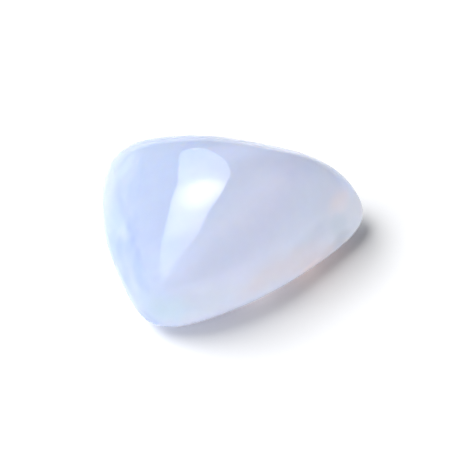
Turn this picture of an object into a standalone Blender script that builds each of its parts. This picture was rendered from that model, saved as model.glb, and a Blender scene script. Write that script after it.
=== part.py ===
"""A tumbled blue chalcedony, polished all over, lying on its flat side.

The stone is a pebble with softly worn faces. Each face is given by the way it looks and by its
distance from the middle of the stone, and one exponent rounds all the edges between them, as
tumbling does. Lengths are in millimetres and angles in degrees until the mesh is made in metres.
"""

import bmesh
import bpy
import numpy as np

MM = 0.001

# The worn faces, as (azimuth, tilt, distance). Azimuth turns from +X towards +Y, tilt leans from
# straight up (0) over the side (90) to straight down (180), and distance is in millimetres.
ROOF_LEFT = (156, 31, 6.8)
ROOF_TOP = (152, 11, 7.0)
ROOF_BACK = (71, 50, 10.1)
BEVEL_LEFT = (181, 70, 14.7)
BEVEL_RIGHT = (-38, 61, 7.5)
BEVEL_FRONT = (-77, 72, 11.0)
SIDE_LEFT = (206, 88, 14.7)
SIDE_BACK = (68, 108, 11.9)
SIDE_FRONT_RIGHT = (-59, 125, 9.7)
UNDERSIDE = (0, 180, 5.5)
WORN_FACES = (
    ROOF_LEFT,
    ROOF_TOP,
    ROOF_BACK,
    BEVEL_LEFT,
    BEVEL_RIGHT,
    BEVEL_FRONT,
    SIDE_LEFT,
    SIDE_BACK,
    SIDE_FRONT_RIGHT,
    UNDERSIDE,
)

# How far tumbling has rounded the edges: 2 would be nearly an egg, 12 nearly sharp.
EDGE_EXPONENT = 5.2

# The flat that wear has left on the underside, as the depth it takes off the rounded stone.
SEAT_DEPTH = 0.08

# Vertices closer to the cutting plane than this, in metres, count as lying on it.
MERGE_DISTANCE = 1e-7

# The mesh starts as a triangulated sphere, and each subdivision makes four triangles of one.
SPHERE_SUBDIVISIONS = 5

# The triangles are evened out as if their edges were springs. An edge pulls by its length, and by
# this many millimetres more for each radian it bends, so that tight corners get more triangles.
BEND_PULL = 6.0
EVENING_ROUNDS = 300
EVENING_STEP = 0.25

CHALCEDONY_BLUE = (0.58, 0.66, 0.86, 1.0)
POLISHED_ROUGHNESS = 0.08


def face_directions():
    """Return the unit direction of each worn face, and its distance from the middle."""
    azimuth, tilt, distance = np.array(WORN_FACES, dtype=float).T
    azimuth = np.radians(azimuth)
    tilt = np.radians(tilt)
    directions = np.stack(
        (np.sin(tilt) * np.cos(azimuth), np.sin(tilt) * np.sin(azimuth), np.cos(tilt)), axis=1
    )
    return directions, distance


def stone_radius(directions):
    """Return how far the surface lies from the middle of the stone along unit directions."""
    face, distance = face_directions()
    nearness = np.maximum(directions @ face.T, 0.0) / distance
    return (nearness ** EDGE_EXPONENT).sum(axis=1) ** (-1.0 / EDGE_EXPONENT)


def surface_normals(points):
    """Return the unit normals of the surface at points on it."""
    face, distance = face_directions()
    nearness = np.maximum(points @ face.T, 0.0) / distance
    normals = (nearness ** (EDGE_EXPONENT - 1.0) / distance) @ face
    return normals / np.linalg.norm(normals, axis=1, keepdims=True)


def even_out(directions, edges):
    """Return the directions moved so that the edges between them are alike in length and bend."""
    start, end = edges.T
    for _ in range(EVENING_ROUNDS):
        points = directions * stone_radius(directions)[:, None]
        normals = surface_normals(points)
        along = points[end] - points[start]
        bend = np.linalg.norm(normals[end] - normals[start], axis=1)
        pull = np.linalg.norm(along, axis=1) + BEND_PULL * bend
        total = np.zeros(len(points))
        move = np.zeros_like(points)
        np.add.at(total, start, pull)
        np.add.at(total, end, pull)
        np.add.at(move, start, pull[:, None] * along)
        np.add.at(move, end, -pull[:, None] * along)
        points += EVENING_STEP * move / total[:, None]
        directions = points / np.linalg.norm(points, axis=1, keepdims=True)
    return directions


def shape_stone(mesh):
    """Move the vertices of a unit sphere to the surface of the stone, in metres."""
    mesh.verts.index_update()
    edges = np.array([[vertex.index for vertex in edge.verts] for edge in mesh.edges])
    directions = np.array([vertex.co.normalized()[:] for vertex in mesh.verts])
    directions = even_out(directions, edges)
    points = directions * stone_radius(directions)[:, None] * MM
    for vertex, point in zip(mesh.verts, points):
        vertex.co = point


def grind_seat(mesh):
    """Cut the underside flat, so that the stone rests on a real face."""
    lowest = min(vertex.co.z for vertex in mesh.verts)
    cut = bmesh.ops.bisect_plane(
        mesh,
        geom=mesh.verts[:] + mesh.edges[:] + mesh.faces[:],
        dist=MERGE_DISTANCE,
        plane_co=(0.0, 0.0, lowest + SEAT_DEPTH * MM),
        plane_no=(0.0, 0.0, 1.0),
        clear_inner=True,
    )
    rim = [edge for edge in cut["geom_cut"] if isinstance(edge, bmesh.types.BMEdge)]
    bmesh.ops.contextual_create(mesh, geom=rim)


def stand_on_origin(mesh):
    """Put the seat on z = 0 and the middle of the bounding box over the origin."""
    low = [min(vertex.co[axis] for vertex in mesh.verts) for axis in range(3)]
    high = [max(vertex.co[axis] for vertex in mesh.verts) for axis in range(3)]
    shift = (-(low[0] + high[0]) / 2, -(low[1] + high[1]) / 2, -low[2])
    bmesh.ops.translate(mesh, vec=shift, verts=mesh.verts[:])


def chalcedony_material():
    """Return the plain polished blue of the stone."""
    material = bpy.data.materials.new("polished_chalcedony")
    material.use_nodes = True
    surface = material.node_tree.nodes["Principled BSDF"]
    surface.inputs["Base Color"].default_value = CHALCEDONY_BLUE
    surface.inputs["Roughness"].default_value = POLISHED_ROUGHNESS
    surface.inputs["Metallic"].default_value = 0.0
    return material


def make_stone():
    """Build the stone as one closed object."""
    form = bmesh.new()
    bmesh.ops.create_icosphere(form, subdivisions=SPHERE_SUBDIVISIONS, radius=1.0)
    shape_stone(form)
    grind_seat(form)
    stand_on_origin(form)
    bmesh.ops.recalc_face_normals(form, faces=form.faces[:])

    mesh = bpy.data.meshes.new("chalcedony")
    form.to_mesh(mesh)
    form.free()
    mesh.shade_smooth()
    mesh.materials.append(chalcedony_material())
    stone = bpy.data.objects.new("chalcedony", mesh)
    bpy.context.scene.collection.objects.link(stone)


def main():
    """Clear the scene and build the stone."""
    for old in list(bpy.data.objects):
        bpy.data.objects.remove(old, do_unlink=True)
    make_stone()


main()
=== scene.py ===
"""Looks of a tumbled blue chalcedony: its polish, its milky colour and the studio it lies in.

The stone is made again from the same worn faces as the CAD solid, with a mesh fine enough for clean
reflections. Its milky body is a scattering material, with clouds of colour placed in the stone and
with light and shade painted into its colour. The pool of light on the surface round it is painted too.
Lengths are in millimetres until a mesh or a node is made, which take metres.
"""

import logging
import math
from dataclasses import dataclass, field
from enum import Enum

import bmesh
import bpy
import numpy as np
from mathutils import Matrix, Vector


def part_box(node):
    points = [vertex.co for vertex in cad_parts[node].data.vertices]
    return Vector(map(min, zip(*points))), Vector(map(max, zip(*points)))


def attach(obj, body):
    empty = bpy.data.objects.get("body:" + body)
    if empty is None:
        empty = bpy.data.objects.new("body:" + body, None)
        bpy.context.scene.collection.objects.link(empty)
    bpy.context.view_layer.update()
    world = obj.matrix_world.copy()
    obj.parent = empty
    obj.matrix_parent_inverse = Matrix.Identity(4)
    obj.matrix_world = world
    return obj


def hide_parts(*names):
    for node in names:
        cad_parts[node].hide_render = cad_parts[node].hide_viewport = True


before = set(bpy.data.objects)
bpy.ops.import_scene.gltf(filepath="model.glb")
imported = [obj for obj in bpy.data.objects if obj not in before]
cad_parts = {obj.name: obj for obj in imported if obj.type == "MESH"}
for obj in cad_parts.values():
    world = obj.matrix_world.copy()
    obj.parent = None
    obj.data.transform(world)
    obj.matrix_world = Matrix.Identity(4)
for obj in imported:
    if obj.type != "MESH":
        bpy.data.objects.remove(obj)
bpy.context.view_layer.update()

MM = 0.001

# The sockets of a node that mixes colours, by number, because they share their names with others.
MIX_SHARE = 0
MIX_UNDER = 6
MIX_OVER = 7
MIX_RESULT = 2

log = logging.getLogger("chalcedony")


def linear(colour: str) -> tuple[float, float, float, float]:
    """Turn an sRGB hex colour into Blender's linear colour.

    Args:
        colour: Six hex digits with a leading hash.

    Returns:
        Linear red, green, blue and an alpha of 1.
    """
    channels = [int(colour[i : i + 2], 16) / 255 for i in (1, 3, 5)]
    red, green, blue = (c / 12.92 if c <= 0.04045 else ((c + 0.055) / 1.055) ** 2.4 for c in channels)
    return red, green, blue, 1.0


def add_node(
    tree: bpy.types.NodeTree, kind: str, settings: dict[str, object], inputs: dict[str | int, object]
) -> bpy.types.Node:
    """Add a node with its settings and links.

    Args:
        tree: The node tree that the node joins.
        kind: The node's type, such as ShaderNodeMix.
        settings: The node's own properties, by name.
        inputs: Its sockets, by name or number, each with a plain value or with the output that feeds it.

    Returns:
        The new node.
    """
    node = tree.nodes.new(kind)
    for name, value in settings.items():
        setattr(node, name, value)
    for name, value in inputs.items():
        if isinstance(value, bpy.types.NodeSocket):
            tree.links.new(value, node.inputs[name])
        else:
            node.inputs[name].default_value = value
    return node


def direction(azimuth: float, elevation: float) -> Vector:
    """Return the unit vector towards a compass direction.

    Args:
        azimuth: Degrees from +Y, behind the stone, towards +X.
        elevation: Degrees above the surface that the stone lies on.

    Returns:
        The unit vector.
    """
    turn, lift = math.radians(azimuth), math.radians(elevation)
    return Vector((math.sin(turn) * math.cos(lift), math.cos(turn) * math.cos(lift), math.sin(lift)))


def keep_light_on(lamp: bpy.types.Object, target: bpy.types.Object) -> bpy.types.Collection:
    """Let a lamp light one object and nothing else.

    Args:
        lamp: The lamp.
        target: The object that it lights.

    Returns:
        A collection that holds the object alone.
    """
    receivers = bpy.data.collections.new(f"{lamp.name}_reach")
    receivers.objects.link(target)
    lamp.light_linking.receiver_collection = receivers
    return receivers


@dataclass(frozen=True)
class WornFace:
    """One softly worn face of the stone.

    The azimuth turns from +X towards +Y and the tilt leans from straight up, both in degrees. The
    distance from the middle of the stone is in millimetres.
    """

    azimuth: float
    tilt: float
    distance: float

    def normal(self) -> tuple[float, float, float]:
        """Return the unit vector that the face looks along."""
        turn, lean = math.radians(self.azimuth), math.radians(self.tilt)
        return math.sin(lean) * math.cos(turn), math.sin(lean) * math.sin(turn), math.cos(lean)


@dataclass(frozen=True)
class CloudOrPaintedLight:
    """A soft patch of another colour inside the stone: a cloud of its own colour, or painted light or
    shade.

    The centre and the reach, a half size each way, are in millimetres from the frame's origin. The
    lean turns the patch about the vertical, in degrees.
    """

    centre: tuple[float, float, float]
    reach: tuple[float, float, float]
    colour: str
    strength: float
    lean: float = 0.0


@dataclass(frozen=True)
class TumbledChalcedony:
    """Blue chalcedony, tumbled and buffed: a glassy skin over milk-blue quartz fibres.

    The fibres scatter blue light back and let warm light through. This light is painted into the
    colour: the stone is painted powder blue on the side that the light enters and greyer and warmer on
    the side that it leaves, with paler clouds where the fibres lie dense. The buffed skin mirrors lamps
    sharply.
    """

    # Chalcedony's index is 1.53 to 1.54, and a buffed skin is nearly a mirror.
    ior: float = 1.54
    roughness: float = 0.03
    # How far red, green and blue light wander in the stone, in millimetres.
    wander: tuple[float, float, float] = (4.0, 3.0, 2.2)
    # Painted light and shade: the colour changes along one way through the stone, lighter and bluer on
    # the side that the light enters and greyer and warmer on the side that it leaves. The shades lie at
    # these places on it, in millimetres from the origin.
    painted_light_way: tuple[float, float, float] = (0.9, -0.27, -0.35)
    painted_light_shades: tuple[tuple[float, str], ...] = (
        (-13, "#C9D8FF"),
        (-8, "#C6D3F0"),
        (-3, "#C4CBE0"),
        (1, "#C5CADF"),
        (5, "#C3CADD"),
        (8, "#C2C7D7"),
        (11, "#BEC4D2"),
    )
    clouds_and_painted_light: tuple[CloudOrPaintedLight, ...] = (
        # Painted reflection and light: the back of the roof and the corner behind it on the left are
        # painted pale, where the stone mirrors the bright surface.
        CloudOrPaintedLight((4.0, 7.2, 10.8), (12.0, 5.8, 3.5), "#D4DDFA", 0.9),
        CloudOrPaintedLight((-14.0, 9.4, 2.8), (3.0, 4.4, 4.0), "#CDDCF3", 0.8),
        CloudOrPaintedLight((-12.4, 8.4, 3.6), (1.3, 4.8, 1.7), "#D5E4FC", 0.75, -22),
        # The left bevel, in a deeper blue.
        CloudOrPaintedLight((-11.2, 4.0, 5.5), (1.3, 6.0, 1.6), "#BCCDF7", 0.6, -5),
        CloudOrPaintedLight((-11.4, -2.8, 6.7), (1.3, 4.5, 1.6), "#B6CAEF", 0.5, 5),
        CloudOrPaintedLight((-13.5, 0.1, 4.3), (1.8, 4.8, 2.4), "#BAD0FA", 0.65),
        # The front corner on the left, with painted shade making it deeper at its foot by the surface.
        CloudOrPaintedLight((-9.5, -12.5, 5.0), (4.5, 4.5, 4.5), "#BFD3EA", 0.6),
        CloudOrPaintedLight((-10.0, -13.2, 2.0), (5.0, 3.0, 2.0), "#9FB4DC", 0.8),
        # The blue wisps down the left side, and the paler streaks between them.
        CloudOrPaintedLight((-12.5, -7.3, 4.2), (2.4, 5.6, 3.4), "#AFC4EC", 0.8, 10),
        CloudOrPaintedLight((-12.8, -4.2, 4.5), (1.8, 2.8, 2.4), "#ACC2EA", 0.8),
        CloudOrPaintedLight((-11.7, -5.4, 6.3), (1.3, 2.2, 1.4), "#A6BDEC", 0.6, 12),
        CloudOrPaintedLight((-13.9, -3.0, 3.2), (1.4, 3.2, 2.2), "#B1C8F0", 0.8),
        CloudOrPaintedLight((-12.9, -6.8, 3.3), (1.2, 2.4, 1.5), "#C1D4EC", 0.6, 10),
        CloudOrPaintedLight((-10.8, -9.2, 7.0), (1.2, 5.5, 1.9), "#ABC0E5", 0.75, 20),
        CloudOrPaintedLight((-8.9, -8.6, 9.0), (1.1, 3.0, 1.6), "#CAD7F5", 0.4, 17),
        # Painted shade: the front bevel is painted darker than the roof, and greyer towards the right.
        CloudOrPaintedLight((-6.8, -13.6, 5.0), (3.5, 2.5, 3.0), "#BDD3E2", 0.6),
        CloudOrPaintedLight((-2.0, -12.6, 5.5), (6.0, 3.0, 3.5), "#C2CADB", 0.8, 10),
        CloudOrPaintedLight((-4.2, -13.6, 3.9), (2.8, 1.5, 1.2), "#C9D1DF", 0.6),
        CloudOrPaintedLight((-3.3, -12.7, 7.4), (1.6, 1.4, 1.0), "#CCD3E4", 0.35),
        CloudOrPaintedLight((-2.0, -9.9, 10.3), (5.0, 4.0, 3.0), "#C0C8DF", 0.6),
        # Painted light and shade: the warm glow of light passing out through the thin foot on the right,
        # with darker shade along it.
        CloudOrPaintedLight((4.2, -8.8, 5.2), (6.4, 3.0, 3.0), "#C5C3CE", 0.85, 41),
        CloudOrPaintedLight((9.4, -3.0, 5.4), (4.5, 1.6, 1.8), "#B7BED0", 0.7, 41),
        CloudOrPaintedLight((8.8, -5.0, 3.4), (5.0, 1.4, 1.5), "#C3BEC8", 0.7, 41),
        CloudOrPaintedLight((11.3, -2.9, 2.4), (2.5, 1.0, 1.2), "#BBB7C1", 0.7, 41),
        CloudOrPaintedLight((9.2, -4.9, 2.3), (2.8, 1.0, 1.0), "#D0C1C6", 0.6, 41),
        CloudOrPaintedLight((7.8, -5.4, 4.9), (4.5, 1.6, 1.8), "#C4BFC9", 0.55, 41),
        CloudOrPaintedLight((12.9, -1.0, 2.6), (2.2, 1.3, 1.5), "#A9B0BF", 0.7, 41),
        # Painted light and shade at the tip: a warm patch of light passing through, and a cooler, darker
        # one.
        CloudOrPaintedLight((12.8, 4.4, 6.8), (3.6, 2.6, 3.6), "#BAC5E1", 0.8),
        CloudOrPaintedLight((12.2, 1.6, 6.1), (3.2, 2.2, 1.9), "#CFCBD4", 0.7, 41),
        CloudOrPaintedLight((12.2, -0.6, 4.2), (2.4, 2.0, 1.8), "#B1BCCC", 0.6, 41),
        # Painted shade: the right of the roof, away from the light, a little deeper.
        CloudOrPaintedLight((5.6, 1.6, 11.0), (4.5, 2.8, 2.4), "#B5BEDD", 0.5),
        CloudOrPaintedLight((8.8, 2.6, 10.4), (3.6, 2.6, 2.0), "#BCC6E0", 0.5),
    )
    # The share of a patch's reach within which it has its full strength.
    patch_core: float = 0.2
    # Bundles of fibres wave the borders of the clouds and mottle the colour. Their width, in
    # millimetres, is too fine to show, so the waves and the mottle are drawn this many times coarser.
    bundle_width: float = 0.5
    wave_coarser: float = 8.0
    wave_depth: float = 1.6
    wave_octaves: float = 2.0
    mottle_coarser: float = 3.2
    mottle_depth: float = 0.03
    mottle_octaves: float = 3.0

    def material(self) -> bpy.types.Material:
        """Make the stone material.

        Returns:
            The material, with its polish and its milky body.
        """
        material = bpy.data.materials.new("tumbled_chalcedony")
        material.use_nodes = True
        tree = material.node_tree
        surface = tree.nodes["Principled BSDF"]
        surface.subsurface_method = "RANDOM_WALK"
        surface.inputs["IOR"].default_value = self.ior
        surface.inputs["Roughness"].default_value = self.roughness
        surface.inputs["Subsurface Weight"].default_value = 1.0
        surface.inputs["Subsurface Radius"].default_value = self.wander
        surface.inputs["Subsurface Scale"].default_value = MM
        tree.links.new(self.body(tree), surface.inputs["Base Color"])
        return material

    def body(self, tree: bpy.types.NodeTree) -> bpy.types.NodeSocket:
        """Colour the body of the stone, with its clouds and its painted light and shade.

        Args:
            tree: The stone's node tree.

        Returns:
            The colour of the stone at each place in it.
        """
        metres = add_node(tree, "ShaderNodeTexCoord", {}, {}).outputs["Object"]
        place = add_node(
            tree, "ShaderNodeVectorMath", {"operation": "SCALE"}, {0: metres, "Scale": 1 / MM}
        ).outputs["Vector"]
        waved = self.wave(tree, place)
        colour = self.shade(tree, waved)
        for patch in self.clouds_and_painted_light:
            colour = self.patch_over(tree, waved, colour, patch)
        mottle_size = self.bundle_width * self.mottle_coarser
        mottle = add_node(
            tree,
            "ShaderNodeTexNoise",
            {},
            {"Vector": place, "Scale": 1 / mottle_size, "Detail": self.mottle_octaves},
        ).outputs["Fac"]
        depth = add_node(
            tree,
            "ShaderNodeMapRange",
            {},
            {"Value": mottle, "To Min": 1 - self.mottle_depth, "To Max": 1 + self.mottle_depth},
        ).outputs["Result"]
        return add_node(
            tree, "ShaderNodeVectorMath", {"operation": "SCALE"}, {0: colour, "Scale": depth}
        ).outputs["Vector"]

    def wave(self, tree: bpy.types.NodeTree, place: bpy.types.NodeSocket) -> bpy.types.NodeSocket:
        """Sway each place a little, so that the borders of the clouds wave.

        Args:
            tree: The stone's node tree.
            place: The place in the stone.

        Returns:
            The swayed place.
        """
        wave_size = self.bundle_width * self.wave_coarser
        noise = add_node(
            tree,
            "ShaderNodeTexNoise",
            {},
            {"Vector": place, "Scale": 1 / wave_size, "Detail": self.wave_octaves},
        ).outputs["Color"]
        sway = add_node(
            tree,
            "ShaderNodeVectorMath",
            {"operation": "MULTIPLY_ADD"},
            {0: noise, 1: (self.wave_depth,) * 3, 2: (-self.wave_depth / 2,) * 3},
        ).outputs["Vector"]
        return add_node(
            tree, "ShaderNodeVectorMath", {"operation": "ADD"}, {0: place, 1: sway}
        ).outputs["Vector"]

    def shade(self, tree: bpy.types.NodeTree, place: bpy.types.NodeSocket) -> bpy.types.NodeSocket:
        """Paint light and shade into the stone's colour, from its lit blue side to its greyer, warmer
        side.

        Args:
            tree: The stone's node tree.
            place: The place in the stone.

        Returns:
            The painted light and shade at each place.
        """
        along = add_node(
            tree, "ShaderNodeVectorMath", {"operation": "DOT_PRODUCT"}, {0: place, 1: self.painted_light_way}
        ).outputs["Value"]
        first, last = self.painted_light_shades[0][0], self.painted_light_shades[-1][0]
        share = add_node(
            tree, "ShaderNodeMapRange", {}, {"Value": along, "From Min": first, "From Max": last}
        ).outputs["Result"]
        ramp = add_node(tree, "ShaderNodeValToRGB", {}, {"Fac": share})
        stops = ramp.color_ramp.elements
        while len(stops) < len(self.painted_light_shades):
            stops.new(1.0)
        for stop, (distance, shade) in zip(stops, self.painted_light_shades):
            stop.position = (distance - first) / (last - first)
            stop.color = linear(shade)
        return ramp.outputs["Color"]

    def patch_over(
        self,
        tree: bpy.types.NodeTree,
        place: bpy.types.NodeSocket,
        under: bpy.types.NodeSocket,
        patch: CloudOrPaintedLight,
    ) -> bpy.types.NodeSocket:
        """Mix a patch, a cloud or painted light or shade, into the colour.

        Args:
            tree: The stone's node tree.
            place: The place in the stone.
            under: The colour without the patch.
            patch: The patch, a cloud or painted light or shade.

        Returns:
            The colour with the patch.
        """
        local = add_node(
            tree,
            "ShaderNodeMapping",
            {"vector_type": "TEXTURE"},
            {
                "Vector": place,
                "Location": patch.centre,
                "Rotation": (0.0, 0.0, math.radians(patch.lean)),
                "Scale": patch.reach,
            },
        ).outputs["Vector"]
        depth = add_node(
            tree, "ShaderNodeTexGradient", {"gradient_type": "SPHERICAL"}, {"Vector": local}
        ).outputs["Fac"]
        share = add_node(
            tree,
            "ShaderNodeMapRange",
            {"interpolation_type": "SMOOTHSTEP"},
            {"Value": depth, "From Max": 1 - self.patch_core, "To Max": patch.strength},
        ).outputs["Result"]
        return add_node(
            tree,
            "ShaderNodeMix",
            {"data_type": "RGBA"},
            {MIX_SHARE: share, MIX_UNDER: under, MIX_OVER: linear(patch.colour)},
        ).outputs[MIX_RESULT]


@dataclass
class Stone:
    """The chalcedony: the same worn faces as the CAD solid, as a fine mesh."""

    faces: tuple[WornFace, ...] = (
        # The roof: its left, its top and its back.
        WornFace(156, 31, 6.8),
        WornFace(152, 11, 7.0),
        WornFace(71, 50, 10.1),
        # The bevels on the left, on the right and in front.
        WornFace(181, 70, 14.7),
        WornFace(-38, 61, 7.5),
        WornFace(-77, 72, 11.0),
        # The sides on the left, behind and in front on the right.
        WornFace(206, 88, 14.7),
        WornFace(68, 108, 11.9),
        WornFace(-59, 125, 9.7),
        # The underside.
        WornFace(0, 180, 5.5),
    )
    # How far tumbling has rounded the edges: 2 would be nearly an egg, 12 nearly sharp.
    edge_exponent: float = 5.2
    # The flat that wear has left on the underside, as the depth it takes off the rounded stone.
    seat_depth: float = 0.08
    # Vertices closer to the plane of the seat than this count as lying on it.
    merge_distance: float = 1e-4
    sphere_subdivisions: int = 5
    # The edges of the coarse mesh pull like springs, harder where they bend, until they are even.
    bend_pull: float = 6.0
    evening_rounds: int = 300
    evening_step: float = 0.25
    # Then each triangle is made into four, this many times.
    refinements: int = 2
    finish: TumbledChalcedony = field(default_factory=TumbledChalcedony)

    def nearness(self, points: np.ndarray) -> tuple[np.ndarray, np.ndarray, np.ndarray]:
        """Measure how near points come to each worn face.

        Args:
            points: One point a row, from the middle of the stone.

        Returns:
            The share of the way to each face, the face normals and the face distances.
        """
        normals = np.array([face.normal() for face in self.faces])
        distances = np.array([face.distance for face in self.faces])
        return np.maximum(points @ normals.T, 0.0) / distances, normals, distances

    def surface(self, points: np.ndarray) -> np.ndarray:
        """Move points along their rays to the surface.

        Args:
            points: One point a row, from the middle of the stone.

        Returns:
            The points on the surface, in millimetres.
        """
        near = self.nearness(points)[0]
        return points * (near**self.edge_exponent).sum(axis=1)[:, None] ** (-1.0 / self.edge_exponent)

    def surface_normals(self, points: np.ndarray) -> np.ndarray:
        """Find the unit normals at points on the surface.

        Args:
            points: One point a row, from the middle of the stone.

        Returns:
            One normal a row.
        """
        near, normals, distances = self.nearness(points)
        steepest = (near ** (self.edge_exponent - 1.0) / distances) @ normals
        return steepest / np.linalg.norm(steepest, axis=1, keepdims=True)

    def even_out(self, points: np.ndarray, edges: np.ndarray) -> np.ndarray:
        """Move points so that the edges between them are alike in length and bend.

        Args:
            points: One point a row, on the surface.
            edges: Pairs of point numbers.

        Returns:
            The moved points, on the surface.
        """
        start, end = edges.T
        for _ in range(self.evening_rounds):
            normals = self.surface_normals(points)
            along = points[end] - points[start]
            bend = np.linalg.norm(normals[end] - normals[start], axis=1)
            pull = np.linalg.norm(along, axis=1) + self.bend_pull * bend
            total = np.zeros(len(points))
            move = np.zeros_like(points)
            np.add.at(total, start, pull)
            np.add.at(total, end, pull)
            np.add.at(move, start, pull[:, None] * along)
            np.add.at(move, end, -pull[:, None] * along)
            points = self.surface(points + self.evening_step * move / total[:, None])
        return points

    def build(self) -> bpy.types.Object:
        """Build the stone's fine mesh on its seat, where its CAD node lies.

        Returns:
            The stone, still without its finish.
        """
        form = bmesh.new()
        bmesh.ops.create_icosphere(form, subdivisions=self.sphere_subdivisions, radius=1.0)
        self.shape(form)
        self.grind_seat(form)
        self.settle(form)
        bmesh.ops.recalc_face_normals(form, faces=form.faces[:])
        mesh = bpy.data.meshes.new("chalcedony_stone")
        form.to_mesh(mesh)
        form.free()
        mesh.shade_smooth()
        stone = bpy.data.objects.new("chalcedony_stone", mesh)
        bpy.context.scene.collection.objects.link(stone)
        return stone

    def shape(self, form: bmesh.types.BMesh) -> None:
        """Shape a ball into the stone, first coarse and even, then fine.

        Args:
            form: The ball, which ends as the stone around its own middle, in metres.
        """
        form.verts.index_update()
        edges = np.array([[vertex.index for vertex in edge.verts] for edge in form.edges])
        points = self.surface(np.array([vertex.co[:] for vertex in form.verts]))
        self.place(form, self.even_out(points, edges))
        for _ in range(self.refinements):
            bmesh.ops.subdivide_edges(form, edges=form.edges[:], cuts=1, use_grid_fill=True)
            self.place(form, self.surface(np.array([vertex.co[:] for vertex in form.verts])))
        for vertex in form.verts:
            vertex.co *= MM

    def place(self, form: bmesh.types.BMesh, points: np.ndarray) -> None:
        """Move the vertices of a mesh to points.

        Args:
            form: The mesh.
            points: One point for each vertex.
        """
        for vertex, point in zip(form.verts, points):
            vertex.co = point

    def grind_seat(self, form: bmesh.types.BMesh) -> None:
        """Cut the underside flat where the stone rests.

        Args:
            form: The stone around its own middle, in metres.
        """
        lowest = min(vertex.co.z for vertex in form.verts)
        cut = bmesh.ops.bisect_plane(
            form,
            geom=form.verts[:] + form.edges[:] + form.faces[:],
            dist=self.merge_distance * MM,
            plane_co=(0.0, 0.0, lowest + self.seat_depth * MM),
            plane_no=(0.0, 0.0, 1.0),
            clear_inner=True,
        )
        rim = [edge for edge in cut["geom_cut"] if isinstance(edge, bmesh.types.BMEdge)]
        bmesh.ops.contextual_create(form, geom=rim)

    def settle(self, form: bmesh.types.BMesh) -> None:
        """Move the stone to where its CAD node lies.

        Args:
            form: The stone around its own middle, in metres.
        """
        low, high = (Vector(corner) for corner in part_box("chalcedony"))
        lowest = Vector([min(vertex.co[axis] for vertex in form.verts) for axis in range(3)])
        highest = Vector([max(vertex.co[axis] for vertex in form.verts) for axis in range(3)])
        shift = (low + high - lowest - highest) / 2
        shift.z = low.z - lowest.z
        bmesh.ops.translate(form, vec=shift, verts=form.verts[:])

    def dress(self, stone: bpy.types.Object) -> None:
        """Give the stone its finish, and let it stand for the CAD node.

        Args:
            stone: The fine mesh.
        """
        stone.data.materials.append(self.finish.material())
        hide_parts("chalcedony")
        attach(stone, "root")


@dataclass(frozen=True)
class Glow:
    """A lamp glowing through a diffuser: where it stands, how far it reaches and how bright it is.

    The place is an azimuth and an elevation. The reach is how far the glow spreads along its long way
    and across it, and the lean turns the long way up from level. All are in degrees.
    """

    comes_from: tuple[float, float]
    reach: tuple[float, float]
    lean: float
    strength: float
    colour: str


@dataclass(frozen=True)
class LitSheet:
    """A sheet that gives off soft light: diffuser cloth lit from behind, or white board.

    The sheet is even but for its foot, which has a brightness of its own, and for the lamps that
    glow through it. It is named for its stuff.
    """

    stuff: str
    colour: str
    strength: float
    # How bright the sheet is at its foot, and how far that reaches in degrees.
    foot_strength: float
    foot_reach: float
    glows: tuple[Glow, ...] = ()

    def material(self, foot: Vector, distance: float) -> bpy.types.Material:
        """Make the material of the sheet.

        Args:
            foot: The direction of the sheet's foot from the stone.
            distance: How far the sheet stands from the stone, in metres.

        Returns:
            A material that only gives off light.
        """
        material = bpy.data.materials.new(self.stuff)
        material.use_nodes = True
        # Only the polish sees the sheet, so no light is sampled from it for anything else.
        material.cycles.emission_sampling = "NONE"
        tree = material.node_tree
        tree.nodes.remove(tree.nodes["Principled BSDF"])
        place = add_node(tree, "ShaderNodeTexCoord", {}, {}).outputs["Object"]
        towards_foot = add_node(
            tree, "ShaderNodeVectorMath", {"operation": "DOT_PRODUCT"}, {0: place, 1: foot / distance}
        ).outputs["Value"]
        strength = add_node(
            tree,
            "ShaderNodeMapRange",
            {},
            {
                "Value": towards_foot,
                "From Min": math.cos(math.radians(self.foot_reach)),
                "From Max": 1.0,
                "To Min": self.strength,
                "To Max": self.foot_strength,
            },
        ).outputs["Result"]
        light = add_node(
            tree, "ShaderNodeEmission", {}, {"Color": linear(self.colour), "Strength": strength}
        ).outputs["Emission"]
        for glow in self.glows:
            glow_strength = self.glow_strength(tree, place, distance, glow)
            lit = add_node(
                tree, "ShaderNodeEmission", {}, {"Color": linear(glow.colour), "Strength": glow_strength}
            ).outputs["Emission"]
            light = add_node(tree, "ShaderNodeAddShader", {}, {0: light, 1: lit}).outputs["Shader"]
        tree.links.new(light, tree.nodes["Material Output"].inputs["Surface"])
        return material

    def glow_strength(
        self, tree: bpy.types.NodeTree, place: bpy.types.NodeSocket, distance: float, glow: Glow
    ) -> bpy.types.NodeSocket:
        """Fade a glow out from its middle.

        Args:
            tree: The sheet's node tree.
            place: The place on the sheet.
            distance: How far the sheet stands from the stone, in metres.
            glow: The glow.

        Returns:
            The strength of the glow at each place.
        """
        towards = direction(*glow.comes_from)
        level = Vector((towards.y, -towards.x, 0.0)).normalized()
        above = level.cross(towards)
        lean = math.radians(glow.lean)
        along = level * math.cos(lean) + above * math.sin(lean)
        across = towards.cross(along)
        reach = [math.sin(math.radians(angle)) * distance for angle in glow.reach]
        steps = [
            add_node(
                tree, "ShaderNodeVectorMath", {"operation": "DOT_PRODUCT"}, {0: place, 1: axis / size}
            ).outputs["Value"]
            for axis, size in zip((along, across), reach)
        ]
        away = add_node(
            tree, "ShaderNodeCombineXYZ", {}, {"X": steps[0], "Y": steps[1]}
        ).outputs["Vector"]
        far = add_node(tree, "ShaderNodeVectorMath", {"operation": "LENGTH"}, {0: away}).outputs["Value"]
        return add_node(
            tree,
            "ShaderNodeMapRange",
            {"interpolation_type": "SMOOTHERSTEP"},
            {"Value": far, "From Min": 1.0, "From Max": 0.0, "To Min": 0.0, "To Max": glow.strength},
        ).outputs["Result"]


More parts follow.
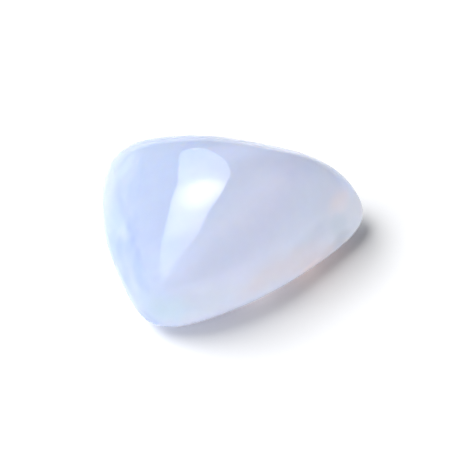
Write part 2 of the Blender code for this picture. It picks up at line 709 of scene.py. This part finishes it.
@dataclass(frozen=True)
class Card:
    """A curved card round the stone that only its polish sees.

    Rows run from the foot of the card to its tail. Each gives the left and the right edge as
    directions from the stone, as azimuth from +Y towards +X and elevation, in degrees.
    """

    name: str
    sheet: LitSheet
    rows: tuple[tuple[tuple[float, float], tuple[float, float]], ...]
    # The steps from one row to the next, and from a row's left edge to its right.
    row_steps: int = 8
    distance: float = 600.0

    def build(self, middle: Vector) -> None:
        """Build the card so that the stone mirrors it.

        Args:
            middle: The middle of the stone, in metres.
        """
        rails = self.rails()
        corners = [
            left.slerp(right, step / self.row_steps) * self.distance * MM
            for left, right in rails
            for step in range(self.row_steps + 1)
        ]
        stride = self.row_steps + 1
        starts = [rail * stride + step for rail in range(len(rails) - 1) for step in range(self.row_steps)]
        faces = [(start, start + 1, start + stride + 1, start + stride) for start in starts]
        mesh = bpy.data.meshes.new(self.name)
        mesh.from_pydata(corners, [], faces)
        mesh.materials.append(self.sheet.material(direction(*self.rows[0][0]), self.distance * MM))
        card = bpy.data.objects.new(self.name, mesh)
        card.location = middle
        bpy.context.scene.collection.objects.link(card)
        card.visible_camera = False
        card.visible_diffuse = False
        card.visible_shadow = False

    def rails(self) -> list[list[Vector]]:
        """Smooth the steps from each row to the next.

        Returns:
            The directions of the left and the right edge, from the foot to the tail.
        """
        rails = []
        for row, following in zip(self.rows, self.rows[1:]):
            for step in range(self.row_steps):
                share = step / self.row_steps
                rails.append([direction(*a).slerp(direction(*b), share) for a, b in zip(row, following)])
        rails.append([direction(*corner) for corner in self.rows[-1]])
        return rails


# Woven diffuser cloth with lamps close behind it: an even, cool white in which the lamps glow. The
# roof of the stone mirrors it as the slanting highlight, with the nearest lamp as its white core.
SOFT_WINDOW = Card(
    "soft_window",
    LitSheet(
        "woven_diffuser_cloth",
        "#D9EBFF",
        strength=2.15,
        foot_strength=1.95,
        foot_reach=22.0,
        glows=(
            Glow((-27.1, 19.7), (10.3, 2.0), 65, 3.9, "#FFF8F0"),
            Glow((-29.5, 21.5), (18.0, 11.0), 80, 1.8, "#FFF6F2"),
            Glow((-33.5, 36.0), (10.0, 6.5), 110, 0.8, "#FFF8F0"),
        ),
    ),
    (
        ((-20, 5), (-18, 5)),
        ((-21.5, 5.5), (-17.5, 7)),
        ((-24, 6.5), (-18, 10)),
        ((-26.5, 8.5), (-19, 14.5)),
        ((-28, 10), (-20, 18)),
        ((-29, 11), (-21.5, 21)),
        ((-29.5, 12), (-22.5, 23)),
        ((-30, 12.5), (-24, 24)),
        ((-31, 12.5), (-25.5, 26)),
        ((-32, 13), (-26.5, 27)),
        ((-34.5, 13.5), (-28.5, 34)),
        ((-38, 15), (-30.5, 40)),
        ((-42, 16), (-38, 48)),
        ((-47, 18.7), (-52, 53)),
        ((-64.5, 26.5), (-85.5, 55)),
        ((-107, 24.5), (-136.5, 32)),
        ((-134, 4), (-143, 5)),
    ),
)

# Painted white board that catches some of the light: a dim, neutral white. The stone mirrors it as
# the pale wedge along the left edge of the roof.
LOW_BOARD = Card(
    "low_board",
    LitSheet("painted_white_board", "#F4F5F7", strength=0.75, foot_strength=0.75, foot_reach=10.0),
    (
        ((-46, -3), (-23, -3)),
        ((-43, 0.5), (-27, 0.5)),
        ((-38, 3), (-30, 3)),
        ((-34, 4.5), (-33, 4.5)),
    ),
)


class Reach(Enum):
    """What a lamp lights."""

    SURFACE = "surface"
    STONE = "stone"


@dataclass(frozen=True)
class SoftLamp:
    """A soft white light far away, which the stone's polish doesn't mirror.

    It comes from an azimuth and an elevation, and its softness is the angle it fills, in degrees.
    """

    name: str
    comes_from: tuple[float, float]
    softness: float
    strength: float
    reach: Reach

    def hang(self, lit: dict[Reach, bpy.types.Object]) -> None:
        """Hang the light.

        Args:
            lit: The object that a lamp of each reach lights.
        """
        sun = bpy.data.lights.new(self.name, "SUN")
        sun.energy = self.strength
        sun.angle = math.radians(self.softness)
        lamp = bpy.data.objects.new(self.name, sun)
        lamp.rotation_euler = (-direction(*self.comes_from)).to_track_quat("-Z", "Y").to_euler()
        lamp.visible_glossy = False
        bpy.context.scene.collection.objects.link(lamp)
        receivers = keep_light_on(lamp, lit[self.reach])
        # Light from below would not get through the surface, so the stone alone blocks its own lamps.
        if self.reach is Reach.STONE:
            lamp.light_linking.blocker_collection = receivers


@dataclass(frozen=True)
class PassedLight:
    """Light that comes out of the stone onto the surface under it, as a soft ball of light inside.

    The place and the radius are in millimetres, and the power is in watts.
    """

    name: str
    place: tuple[float, float, float]
    radius: float
    power: float
    colour: str

    def hang(self, surface: bpy.types.Object) -> None:
        """Hang the light in the stone.

        Args:
            surface: The surface, which alone takes and blocks this light.
        """
        ball = bpy.data.lights.new(self.name, "POINT")
        ball.energy = self.power
        ball.shadow_soft_size = self.radius * MM
        ball.color = linear(self.colour)[:3]
        lamp = bpy.data.objects.new(self.name, ball)
        lamp.location = Vector(self.place) * MM
        lamp.visible_glossy = False
        bpy.context.scene.collection.objects.link(lamp)
        lamp.light_linking.blocker_collection = keep_light_on(lamp, surface)


@dataclass(frozen=True)
class MatteAcrylic:
    """White acrylic sheet with a sanded face: a plain even white with no shine.

    A pool of light round the stone is painted into its colour: white near the stone, fading to a
    painted grey shade past the pool.
    """

    white: str = "#F4F5F7"
    painted_shade_beyond_pool: str = "#5A5C60"
    # How far the painted pool of light is full, and where it has faded out.
    painted_pool_reach: tuple[float, float] = (45.0, 130.0)
    roughness: float = 0.9
    shine: float = 0.0

    def material(self) -> bpy.types.Material:
        """Make the material of the sheet.

        Returns:
            The material.
        """
        material = bpy.data.materials.new("white_matte_acrylic_painted_pool")
        material.use_nodes = True
        tree = material.node_tree
        shader = tree.nodes["Principled BSDF"]
        place = add_node(tree, "ShaderNodeTexCoord", {}, {}).outputs["Object"]
        far = add_node(tree, "ShaderNodeVectorMath", {"operation": "LENGTH"}, {0: place}).outputs["Value"]
        full, faded = (reach * MM for reach in self.painted_pool_reach)
        # The pool of light is painted: the colour fades from white to grey away from the stone.
        painted_pool_fade = add_node(
            tree, "ShaderNodeMapRange", {}, {"Value": far, "From Min": full, "From Max": faded}
        ).outputs["Result"]
        shade = add_node(
            tree,
            "ShaderNodeMix",
            {"data_type": "RGBA"},
            {MIX_SHARE: painted_pool_fade, MIX_UNDER: linear(self.white), MIX_OVER: linear(self.painted_shade_beyond_pool)},
        ).outputs[MIX_RESULT]
        tree.links.new(shade, shader.inputs["Base Color"])
        shader.inputs["Roughness"].default_value = self.roughness
        shader.inputs["Specular IOR Level"].default_value = self.shine
        return material


@dataclass
class Studio:
    """A white tabletop under soft light from the left, the dim room it mirrors, and the camera."""

    camera_elevation: float = 50.0
    camera_distance: float = 1500.0
    # The nearest and the farthest that the camera sees.
    camera_range: tuple[float, float] = (10.0, 20000.0)
    # The width of surface that fills the picture where the stone lies.
    picture_width: float = 52.45
    # The middle of the stone, and where it falls: this far right of and above the picture's centre.
    stone_middle: tuple[float, float, float] = (-0.003, -1.237, 5.42)
    stone_offset: tuple[float, float] = (0.245, 0.70)
    # The lamps on the surface give the shadow, and those on the stone give its body light, so that
    # each can be as soft and as strong as it looks.
    lamps: tuple[SoftLamp, ...] = (
        SoftLamp("key", (-78, 55), 48, 2.1, Reach.SURFACE),
        SoftLamp("wide_key", (-67, 40), 69, 1.7, Reach.SURFACE),
        SoftLamp("low_side", (-117, 9), 32, 3.5, Reach.SURFACE),
        SoftLamp("back_left", (-40, 30), 50, 1.2, Reach.SURFACE),
        SoftLamp("back_right", (48, 25), 50, 0.45, Reach.SURFACE),
        SoftLamp("body_left", (-80, 50), 90, 2.65, Reach.STONE),
        SoftLamp("body_front", (170, 50), 90, 1.15, Reach.STONE),
        SoftLamp("body_right", (110, 30), 60, 1.2, Reach.STONE),
        SoftLamp("body_under", (110, -40), 90, 0.8, Reach.STONE),
        SoftLamp("body_below", (150, -65), 60, 0.25, Reach.STONE),
    )
    # The light that the stone passes on is warm, and warmest where the stone is thin on the right.
    passed_lights: tuple[PassedLight, ...] = (
        PassedLight("passed_middle", (2, -6, 3), 2.0, 2.1e-4, "#FFE8D8"),
        PassedLight("passed_right", (8, -3.4, 2.5), 2.2, 1.0e-4, "#FFD4B8"),
        PassedLight("passed_tip", (11.5, -0.5, 2.5), 2.0, 0.35e-4, "#FFCBA8"),
        PassedLight("passed_front", (-3.5, -9, 3), 2.0, 0.2e-4, "#FFF4EC"),
    )
    cards: tuple[Card, ...] = (SOFT_WINDOW, LOW_BOARD)
    air_colour: str = "#FFFFFF"
    air_strength: float = 0.04
    mirrored_room_strength: float = 0.12
    surface_size: float = 4000.0
    # The surface lies this far under the seat, so that the two don't show through each other.
    surface_gap: float = 0.02
    surface_finish: MatteAcrylic = field(default_factory=MatteAcrylic)

    def build(self, stone: bpy.types.Object) -> None:
        """Set up the surface, the lights and the camera.

        Args:
            stone: The stone, for the lamps that light it alone.
        """
        lit = {Reach.SURFACE: self.lay_surface(), Reach.STONE: stone}
        for lamp in self.lamps:
            lamp.hang(lit)
        for light in self.passed_lights:
            light.hang(lit[Reach.SURFACE])
        self.fill_air()
        for card in self.cards:
            card.build(Vector(self.stone_middle) * MM)
        self.place_camera()

    def lay_surface(self) -> bpy.types.Object:
        """Lay the white surface just under the stone's seat.

        Returns:
            The surface.
        """
        level = -self.surface_gap * MM
        bpy.ops.mesh.primitive_plane_add(size=self.surface_size * MM, location=(0.0, 0.0, level))
        surface = bpy.context.object
        surface.name = "white_surface"
        surface.data.materials.append(self.surface_finish.material())
        return surface

    def fill_air(self) -> None:
        """Light the air all round for matte light, and give the polish a dim room to mirror."""
        world = bpy.data.worlds.new("studio_air")
        bpy.context.scene.world = world
        world.use_nodes = True
        tree = world.node_tree
        colour = linear(self.air_colour)
        air = tree.nodes["Background"]
        air.inputs["Color"].default_value = colour
        air.inputs["Strength"].default_value = self.air_strength
        room = add_node(
            tree, "ShaderNodeBackground", {}, {"Color": colour, "Strength": self.mirrored_room_strength}
        )
        mirrored = add_node(tree, "ShaderNodeLightPath", {}, {}).outputs["Is Glossy Ray"]
        light = add_node(
            tree,
            "ShaderNodeMixShader",
            {},
            {0: mirrored, 1: air.outputs["Background"], 2: room.outputs["Background"]},
        ).outputs["Shader"]
        tree.links.new(light, tree.nodes["World Output"].inputs["Surface"])

    def place_camera(self) -> None:
        """Place the camera where the photograph was taken from."""
        scene = bpy.context.scene
        lift = math.radians(self.camera_elevation)
        to_camera = Vector((0.0, -math.cos(lift), math.sin(lift)))
        up = Vector((0.0, math.sin(lift), math.cos(lift)))
        right, above = self.stone_offset
        aim = Vector(self.stone_middle) - right * Vector((1.0, 0.0, 0.0)) - above * up
        lens = bpy.data.cameras.new("camera")
        lens.angle = 2 * math.atan(self.picture_width / 2 / self.camera_distance)
        lens.clip_start, lens.clip_end = (distance * MM for distance in self.camera_range)
        camera = bpy.data.objects.new("camera", lens)
        camera.location = (aim + to_camera * self.camera_distance) * MM
        camera.rotation_euler = (-to_camera).to_track_quat("-Z", "Y").to_euler()
        scene.collection.objects.link(camera)
        scene.camera = camera
        # The plain transform lets the lit surface burn out to white.
        scene.view_settings.view_transform = "Standard"


def main() -> None:
    """Build the stone and its studio."""
    logging.basicConfig(level=logging.INFO, format="%(message)s")
    stone = Stone()
    piece = stone.build()
    stone.dress(piece)
    log.info("%s: %d faces", piece.name, len(piece.data.polygons))
    Studio().build(piece)


if __name__ == "__main__":
    main()
